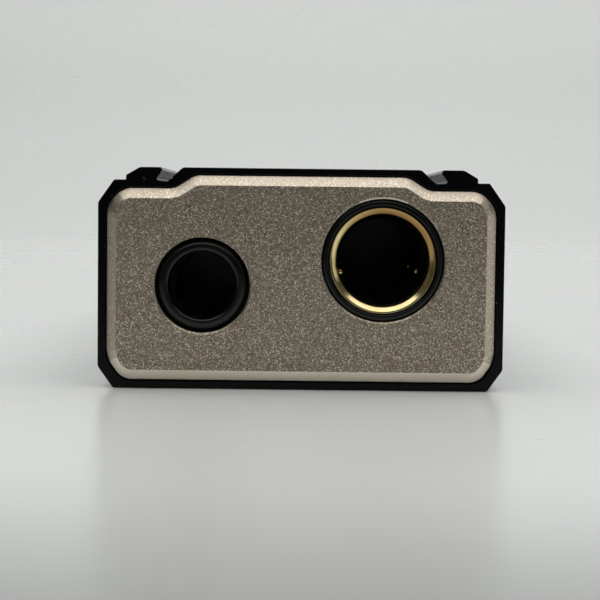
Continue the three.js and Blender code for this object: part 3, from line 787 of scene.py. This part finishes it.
def markPaintedChamferLight(bm):  # the slanted faces round a panel's front are marked for painted highlight: a lighter colour stands in for the light they catch
    s = panelSizes
    cut = bm.faces.layers.float.new("cutFace")
    rubbed = bm.faces.layers.float.new("rubbed")  # the lower ones are painted lighter still: a painted highlight for the floor light they catch
    for face in bm.faces:
        x, y, z = face.calc_center_median()
        border = abs(x) > side - s["slantIn"] or z < s["slantIn"] or z > top - s["slantDown"]
        slanted = border and 0.2 < abs(face.normal.y) < 0.97
        face[cut] = 1.0 if slanted else 0.0
        face[rubbed] = 1.0 if slanted and face.normal.z < -0.3 else 0.0


contactSizes = {
    "width": 0.9,
    "thickness": 0.25,
    "foot": 0.6,
    "reach": 2.3,
    "bumpAlong": 1.6,
    "tipLift": 0.35,
    "inset": 0.2,
    "dimpleRadius": 0.28,
    "gap": 0.12,
}

jackFront = 0.05 - panelBack
tipTop = nodeBox("jack_3_5_contact_tip")[1].z
ringMiddle = midpoint("jack_4_4_entry_ring")
smallAxis = Vector((midpoint("jack_3_5_body").x, 0, tipTop - contactSizes["width"] / 2))
largeAxis = Vector((ringMiddle.x, 0, ringMiddle.z))
smallJack = {
    "node": "jack_3_5_body",
    "axis": smallAxis,
    "noseRadius": 2.5,
    "holeGap": 0.12,
    "lip": 0.36,
    "mouthRadius": 1.87,
    "boreRadius": 1.8,
    "halfWidth": 3.2,
    "above": 2.4,
    "dimple": 0.0,
    "bite": -0.05,
    "backWall": 2.0,
    "poles": ["sleeve", "ring_2", "ring_1", "tip"],
}
largeJack = {
    "node": "jack_4_4_body",
    "axis": largeAxis,
    "noseRadius": 3.325,
    "holeGap": 0.06,
    "wall": 0.335,
    "ringBack": 0.15,
    "ringLength": 2.05,
    "guide": 1.0,
    "boreRadius": 2.3,
    "halfWidth": 3.1,
    "above": 3.2,
    "dimple": 0.27,
    "bite": 0.04,
    "backWall": 2.0,
    "poles": ["sleeve", "ring_3", "ring_2", "ring_1", "tip"],
}


def holeCutter(radius, axis):  # through the jack-end panel
    return turned(rod(radius, past - panelBack, -faceY - past), axis)


def nearAxis(co, axis, radius):
    return math.hypot(co.x - axis.x, co.z - axis.z) < radius + 10 * hair


def makeFrontPanel():
    s = panelSizes
    holes = [(jack["axis"], jack["noseRadius"] + jack["holeGap"]) for jack in (smallJack, largeJack)]
    panel = carve(panelBlank(-1), [holeCutter(radius, axis) for axis, radius in holes])

    def onHole(co):
        return abs(co.y + faceY) < hair and any(nearAxis(co, axis, radius) for axis, radius in holes)

    soften(panel, s["holeEdge"], onHole, 1, 60)
    markPaintedChamferLight(panel)
    addPiece("front_plate", panel, "body", "bronzeAluminium",
             ["front_panel"], 30, s["wornWidth"])


portSizes = {
    "outerEdge": 0.1,
    "innerEdge": 0.07,
    "tongueCorner": 0.1,
    "tongueEdge": 0.12,
    "padThickness": 0.04,
    "padBack": 0.5,
    "padOut": 0.005,
    "padEdge": 0.012,
    "gap": 0.12,
    "wall": 0.3,
    "tongueWidth": 6.69,
    "tongueThickness": 0.7,
    "insulator": 1.7,
    "pads": 12,
    "padPitch": 0.5,
    "padWidth": 0.26,
    "padLength": 3.3,
}
screwSizes = {
    "headRadius": 1.1,
    "threadRadius": 0.45,
    "headDepth": 0.65,
    "headRim": 0.12,
    "length": 5.0,
    "socketRadius": 0.47,
    "socketDepth": 0.45,
    "socketEdge": 0.03,
    "tipIn": 0.15,
    "tipLength": 0.3,
    "sunk": 0.1,
    "broken": 0.08,
    "gap": 0.05,
}
portLow, portHigh = nodeBox("usb_port_shell")
portZ = (portLow.z + portHigh.z) / 2


def makeRearPanel():
    s = screwSizes
    width = portHigh.x - portLow.x + 2 * portSizes["gap"]
    height = portHigh.z - portLow.z + 2 * portSizes["gap"]
    broken = s["broken"]
    outline = stadium(width, height, 0, portZ)
    port = slab("Y", outline, panelBack - past, faceY - broken, 14)
    flare = slab("Y", outline, faceY - broken, faceY + broken, 14)
    outer = [vert for vert in flare.verts if vert.co.y > faceY]
    wider = (1 + 4 * broken / width, 1, 1 + 4 * broken / height)
    bmesh.ops.scale(flare, vec=wider, space=Matrix.Translation((0, 0, -portZ)), verts=outer)
    cuts = [port, flare]
    sunk = s["headRadius"] + s["gap"]
    thread = s["threadRadius"] + slotGap
    for middle in screwAxes:
        cuts.append(turned([
            (0, panelBack - past, 0),
            (thread, panelBack - past, 0),
            (thread, faceY - s["headDepth"] - s["sunk"], 0),
            (sunk, faceY - s["sunk"] - s["headRim"] - 2 * s["gap"], 0),
            (sunk, faceY - broken, 0),
            (sunk + 2 * broken, faceY + broken, 0),
            (0, faceY + broken, 0),
        ], (middle.x, 0, middle.z), steps=48))
    panel = carve(panelBlank(1), cuts)
    markPaintedChamferLight(panel)
    addPiece("rear_plate", panel, "body", "bronzeAluminium",
             ["rear_panel"], 30, panelSizes["wornWidth"])


def makeScrew(name, middle):
    s = screwSizes
    head = nodeBox(name)[1].y
    neck = head - s["headDepth"] + s["gap"]
    tip = head - s["length"]
    screw = turned([
        (0, tip, 0),
        (s["threadRadius"] - s["tipIn"], tip, 0),
        (s["threadRadius"], tip + s["tipLength"], 0),
        (s["threadRadius"], neck, 0.05),
        (s["headRadius"], head - s["headRim"], 0.02),
        (s["headRadius"], head, 0.05),
        (0, head, 0),
    ], (middle.x, 0, middle.z), steps=48)
    socket = bmesh.new()
    radius = s["socketRadius"]
    bmesh.ops.create_cone(socket, cap_ends=True, segments=6, radius1=radius, radius2=radius,
                          depth=2 * s["socketDepth"])
    upright = Matrix.Rotation(math.pi / 2, 3, "X")
    bmesh.ops.rotate(socket, verts=socket.verts, cent=(0, 0, 0), matrix=upright)
    bmesh.ops.translate(socket, verts=socket.verts, vec=(middle.x, head, middle.z))
    screw = carve(screw, [socket])
    soften(screw, s["socketEdge"], lambda co: nearAxis(co, middle, radius) and co.y > head - hair, 2, 60)
    addPiece(name + "_turned", screw, "body", "screwSteel", [name], 30)


makeFrontPanel()
makeRearPanel()
for screwName, screwMiddle in zip(["rear_screw_left", "rear_screw_right"], screwAxes):
    makeScrew(screwName, screwMiddle)
print("panels and screws made")


# jacks

def jackBlock(s):
    low, high = nodeBox(s["node"])
    tall = s["axis"].z + s["above"] - low.z
    outline = rectangle(2 * s["halfWidth"], tall, 0.3, s["axis"].x, low.z + tall / 2)
    return slab("Y", outline, jackFront, high.y)


def contactWindows(s):
    c = contactSizes
    cuts = []
    for pole in s["poles"]:
        low, high = nodeBox(s["node"].replace("body", "contact_" + pole))
        direction = 1 if low.x > s["axis"].x else -1
        outer = s["axis"].x + direction * (s["halfWidth"] + 0.3)
        inner = s["axis"].x + direction * s["boreRadius"] / 2
        leafLow = high.z - c["width"] - c["gap"]
        window = rectangle(high.y - low.y + 2 * c["gap"], c["width"] + 2 * c["gap"], 0.0,
                           (low.y + high.y) / 2, leafLow + c["width"] / 2 + c["gap"])
        cuts.append(slab("X", window, min(inner, outer), max(inner, outer)))
        footIn = s["axis"].x + direction * (s["halfWidth"] - c["inset"] - c["thickness"] - c["gap"])
        groove = rectangle(c["foot"] + 2 * c["gap"], leafLow - low.z + 2, 0.0,
                           low.y + c["foot"] / 2, (leafLow + low.z) / 2 - 0.9)
        cuts.append(slab("X", groove, min(footIn, outer), max(footIn, outer)))
    return cuts


def makeSmallJack():
    s = smallJack
    low, high = nodeBox(s["node"])
    mouth = low.y
    boreEnd = high.y - s["backWall"]
    nose = turned([
        (s["boreRadius"] + 0.03, jackFront + 0.1, 0),
        (s["boreRadius"] + 0.03, mouth + 1.4, 0.2),
        (s["mouthRadius"], mouth + 0.6, 0.2),
        (s["mouthRadius"], mouth, 0.17),
        (s["noseRadius"], mouth, s["lip"]),
        (s["noseRadius"], jackFront + 0.1, 0),
    ], s["axis"], roundSteps=7)
    bore = turned([
        (0, mouth + 1.5, 0),
        (s["boreRadius"], mouth + 1.5, 0),
        (s["boreRadius"], boreEnd, 0),
        (0, boreEnd, 0),
    ], s["axis"])
    body = carve(joined([jackBlock(s), nose]), [bore, *contactWindows(s)])
    addPiece("jack_3_5_moulding", body, "body", "jackPlastic", [s["node"]], 32)


def makeLargeJack():
    s = largeJack
    low, high = nodeBox(s["node"])
    mouth = low.y
    boreEnd = high.y - s["backWall"]
    ringSpace = s["noseRadius"] - s["wall"]
    ringEnd = mouth + s["ringBack"] + s["ringLength"]
    nose = turned([
        (ringSpace, jackFront + 0.1, 0),
        (ringSpace, mouth, 0.06),
        (s["noseRadius"], mouth, 0.14),
        (s["noseRadius"], jackFront + 0.1, 0),
    ], s["axis"], roundSteps=5)
    bore = turned([
        (0, mouth + 1.5, 0),
        (ringSpace - 0.02, mouth + 1.5, 0),
        (ringSpace - 0.02, ringEnd, 0),
        (s["boreRadius"], ringEnd + s["guide"], 0),
        (s["boreRadius"], boreEnd, 0),
        (0, boreEnd, 0),
    ], s["axis"])
    body = carve(joined([jackBlock(s), nose]), [bore, *contactWindows(s)])
    addPiece("jack_4_4_moulding", body, "body", "jackPlastic", [s["node"]], 32)


ringSizes = {"rim": 0.4, "lip": 0.08, "funnel": 0.245, "crown": 0.12}


def makeEntryRing():
    s = ringSizes
    low, high = nodeBox("jack_4_4_entry_ring")
    outer = (high.x - low.x) / 2
    inner = outer - s["rim"]
    ring = turned([
        (inner, high.y, 0.05),
        (inner, low.y + s["funnel"], 0.07),
        (outer - s["crown"], low.y, 0.07),
        (outer, low.y, s["lip"]),
        (outer, high.y, 0.05),
    ], largeAxis, roundSteps=6)
    addPiece("jack_4_4_gold_ring", ring, "body", "ringGold", ["jack_4_4_entry_ring"], 40)


def makeContact(s, pole):  # a bent leaf with a domed dimple where it touches the plug
    c = contactSizes
    node = s["node"].replace("body", "contact_" + pole)
    low, high = nodeBox(node)
    direction = 1 if low.x > s["axis"].x else -1
    outer = s["halfWidth"] - c["inset"]
    bump = s["boreRadius"] - s["bite"]
    start, thick = low.y, c["thickness"]
    middle, end = start + c["bumpAlong"], start + c["reach"]
    leaf = [
        (outer, start, 0.05),
        (outer, start + c["foot"], 0.2),
        (bump + thick, middle, 0.25),
        (bump + thick + c["tipLift"], end, 0.02),
        (bump + c["tipLift"], end, 0.02),
        (bump, middle, 0.3),
        (outer - thick, start + c["foot"], 0.15),
        (outer - thick, start, 0.05),
    ]
    placed = [(s["axis"].x + direction * u, v, r) for u, v, r in leaf]
    spring = slab("Z", placed, high.z - c["width"], high.z, 5)
    footMiddle = s["axis"].x + direction * (outer - thick / 2)
    foot = slab("Z", rectangle(thick, c["foot"], 0.03, footMiddle, start + c["foot"] / 2), low.z,
                high.z - c["width"] / 2)
    tip = direction * (s["boreRadius"] - s["dimple"])
    root = direction * (bump + thick * 0.8)
    radius = c["dimpleRadius"]
    dimple = turned([(0, root, 0), (radius, root, 0), (radius, tip, radius * 0.9), (0, tip, 0)],
                    (s["axis"].x, middle, high.z - c["width"] / 2), "X", 24, 5)
    contact = joined([spring, foot, dimple])
    addPiece(node + "_leaf", contact, "body", "goldPlate", [node], 40)


makeSmallJack()
makeLargeJack()
makeEntryRing()
for jack in (smallJack, largeJack):
    for poleName in jack["poles"]:
        makeContact(jack, poleName)
print("jacks made")


# USB port

def makePort():
    s = portSizes
    width = portHigh.x - portLow.x
    height = portHigh.z - portLow.z
    outside = slab("Y", stadium(width, height, 0, portZ), portLow.y, portHigh.y, 16)
    soften(outside, s["outerEdge"], lambda co: co.y > portHigh.y - hair, 3, 60)
    hollow = stadium(width - 2 * s["wall"], height - 2 * s["wall"], 0, portZ)
    shell = carve(outside, [slab("Y", hollow, portLow.y - past, portHigh.y + past, 16)])

    def onInnerMouth(co):
        return co.y > portHigh.y - 0.12 and abs(co.z - portZ) < height / 2 - 0.2

    soften(shell, s["innerEdge"], onInnerMouth, 2, 60)
    addPiece("usb_port_drawn_shell", shell, "body", "portSteel", ["usb_port_shell"], 35)

    low, high = nodeBox("usb_port_tongue")
    outline = stadium(high.x - low.x, high.z - low.z, 0, portZ)
    insulator = slab("Y", outline, low.y, low.y + s["insulator"], 12)
    outline = rectangle(s["tongueWidth"], s["tongueThickness"], s["tongueCorner"], 0, portZ)
    tongue = slab("Y", outline, low.y, high.y)
    soften(tongue, s["tongueEdge"], lambda co: co.y > high.y - hair, 3, 60)
    body = joined([insulator, tongue])
    addPiece("usb_port_moulding", body, "body", "innerPlastic", ["usb_port_tongue"], 35)

    pads = bmesh.new()
    half = s["tongueThickness"] / 2
    for face in (-1, 1):
        for i in range(s["pads"]):
            x = (i - (s["pads"] - 1) / 2) * s["padPitch"]
            made = bmesh.ops.create_cube(pads, size=1.0)["verts"]
            bmesh.ops.scale(pads, vec=(s["padWidth"], s["padLength"], s["padThickness"]), verts=made)
            middle = (x, high.y - s["padBack"] - s["padLength"] / 2, portZ + face * (half + s["padOut"]))
            bmesh.ops.translate(pads, verts=made, vec=middle)
    soften(pads, s["padEdge"], None, 1, 60)
    addPiece("usb_port_pads", pads, "body", "goldPlate")


makePort()
print("port made")


# light pipe

def makeLightPipe():
    low, high = nodeBox("light_pipe")
    radius = (high.x - low.x) / 2
    middle = (low + high) / 2
    pipe = turned([(0, low.z, 0), (radius, low.z, 0.05), (radius, high.z, 0.08), (0, high.z, 0)],
                  (middle.x, middle.y, 0), "Z", 40, 3)
    addPiece("light_pipe_rod", pipe, "body", "clearPlastic", ["light_pipe"], 35)


makeLightPipe()


# CAD nodes that keep their shape

keptFinishes = {
    "main_board": "boardLaminate",
    "insulating_film": "amberFilm",
    "shield_can": "portSteel",
    "status_lamp": "lampResin",
    "power_inductor": "ferriteCore",
    "clock_crystal": "crystalCan",
    "filter_capacitor": "tantalumResin",
    "amplifier_chip": "chipResin",
    "converter_chip": "chipResin",
    "usb_bridge_chip": "chipResin",
    "volume_up_switch": "switchPlastic",
    "volume_down_switch": "switchPlastic",
    "volume_up_plunger": "switchPlastic",
    "volume_down_plunger": "switchPlastic",
    "gain_switch_body": "switchPlastic",
    "gain_lever": "switchPlastic",
}
for nodeName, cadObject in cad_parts.items():
    for start, finishName in keptFinishes.items():
        if nodeName.startswith(start):
            for slotIndex in range(len(cadObject.material_slots)):
                cadObject.material_slots[slotIndex].material = finishes[finishName]
print("inner parts finished")


# floor, backdrop, lights and camera

stageLook = {
    # the floor colour in front of the object is painted shade
    "near": (0.12, 0.125, 0.12),
    "far": (0.88, 0.90, 0.88),
    "shadeFrom": -94.0,
    "shadeTo": -50.0,
    "front": -0.5,
    "wallY": 0.62,
    "bend": 0.25,
    "height": 0.8,
    "halfWidth": 1.0,
}


def makeStage():
    s = stageLook
    bm = bmesh.new()
    path = [(s["front"], 0), (s["wallY"], 0), (s["wallY"], s["height"])]
    verts = [bm.verts.new((-s["halfWidth"], y, z)) for y, z in path]
    edges = [bm.edges.new(pair) for pair in zip(verts, verts[1:])]
    pushed = bmesh.ops.extrude_edge_only(bm, edges=edges)
    moved = [item for item in pushed["geom"] if isinstance(item, bmesh.types.BMVert)]
    bmesh.ops.translate(bm, verts=moved, vec=(2 * s["halfWidth"], 0, 0))
    fold = [edge for edge in bm.edges if len(edge.link_faces) == 2]
    bmesh.ops.bevel(bm, geom=fold, offset=s["bend"], offset_type="OFFSET", segments=24, profile=0.5,
                    affect="EDGES", clamp_overlap=False, material=-1)
    bmesh.ops.recalc_face_normals(bm, faces=bm.faces)
    mesh = bpy.data.meshes.new("sweep")
    bm.to_mesh(mesh)
    bm.free()
    mesh.polygons.foreach_set("use_smooth", [True] * len(mesh.polygons))
    finish = Finish("sweepPaper", specularIORLevel=0.5)
    cloud = finish.noise(60.0, 3.0)
    # painted shade: the floor is painted darker towards the camera, below shadeTo
    depth = finish.ramp(finish.axis("Y") + cloud * 10.0, s["shadeFrom"], s["shadeTo"], "SMOOTHSTEP")
    finish.feed(baseColor=finish.mix(depth, s["near"], s["far"]))
    finish.feed(roughness=0.22 + cloud * 0.1)
    mesh.materials.append(finish.material)
    sweep = bpy.data.objects.new("sweep", mesh)
    bpy.context.scene.collection.objects.link(sweep)


lightLook = {  # glow is each softbox's own brightness
    "top": {"place": (0.03, 0.03, 0.42), "aim": (0.03, 0.03, 0), "size": (0.8, 1.1), "glow": 1.25},
    "right": {"place": (0.5, -0.05, 0.09), "aim": (0, -0.03, 0.01), "size": (0.4, 0.17), "glow": 0.55},
    "left": {"place": (-0.5, -0.06, 0.14), "aim": (0, -0.03, 0.01), "size": (0.4, 0.28), "glow": 0.04},
}
worldLook = {"colour": (0.035, 0.035, 0.034), "strength": 1.0}


def makeLights():
    for name, s in lightLook.items():
        light = bpy.data.lights.new(name + "Light", "AREA")
        light.shape = "RECTANGLE"
        light.size, light.size_y = s["size"]
        light.energy = s["glow"] * math.pi * light.size * light.size_y
        lamp = bpy.data.objects.new(name + "Light", light)
        lamp.location = s["place"]
        toward = Vector(s["aim"]) - Vector(s["place"])
        lamp.rotation_euler = toward.to_track_quat("-Z", "Y").to_euler()
        bpy.context.scene.collection.objects.link(lamp)
    world = bpy.data.worlds.new("studio")
    world.use_nodes = True
    background = world.node_tree.nodes["Background"]
    background.inputs["Color"].default_value = (*worldLook["colour"], 1)
    background.inputs["Strength"].default_value = worldLook["strength"]
    bpy.context.scene.world = world


cameraLook = {
    "distance": 85.0,
    "height": 10.08,
    "side": -0.04,
    "down": 3.41,
    "roll": 0.66,
    "lens": 93.3,
}


def makeCamera():
    s = cameraLook
    data = bpy.data.cameras.new("camera")
    data.lens = s["lens"]
    data.sensor_width = 36.0
    data.clip_start = 0.001
    camera = bpy.data.objects.new("camera", data)
    tilt = Matrix.Rotation(math.radians(90 - s["down"]), 4, "X")
    roll = Matrix.Rotation(math.radians(s["roll"]), 4, "Z")
    place = Vector((s["side"], -faceY - s["distance"], s["height"])) * mm
    camera.matrix_world = Matrix.Translation(place) @ (tilt @ roll)
    bpy.context.scene.collection.objects.link(camera)
    bpy.context.scene.camera = camera


makeStage()
makeLights()
makeCamera()
bpy.context.scene.view_settings.view_transform = "Standard"
print("stage, lights and camera made")
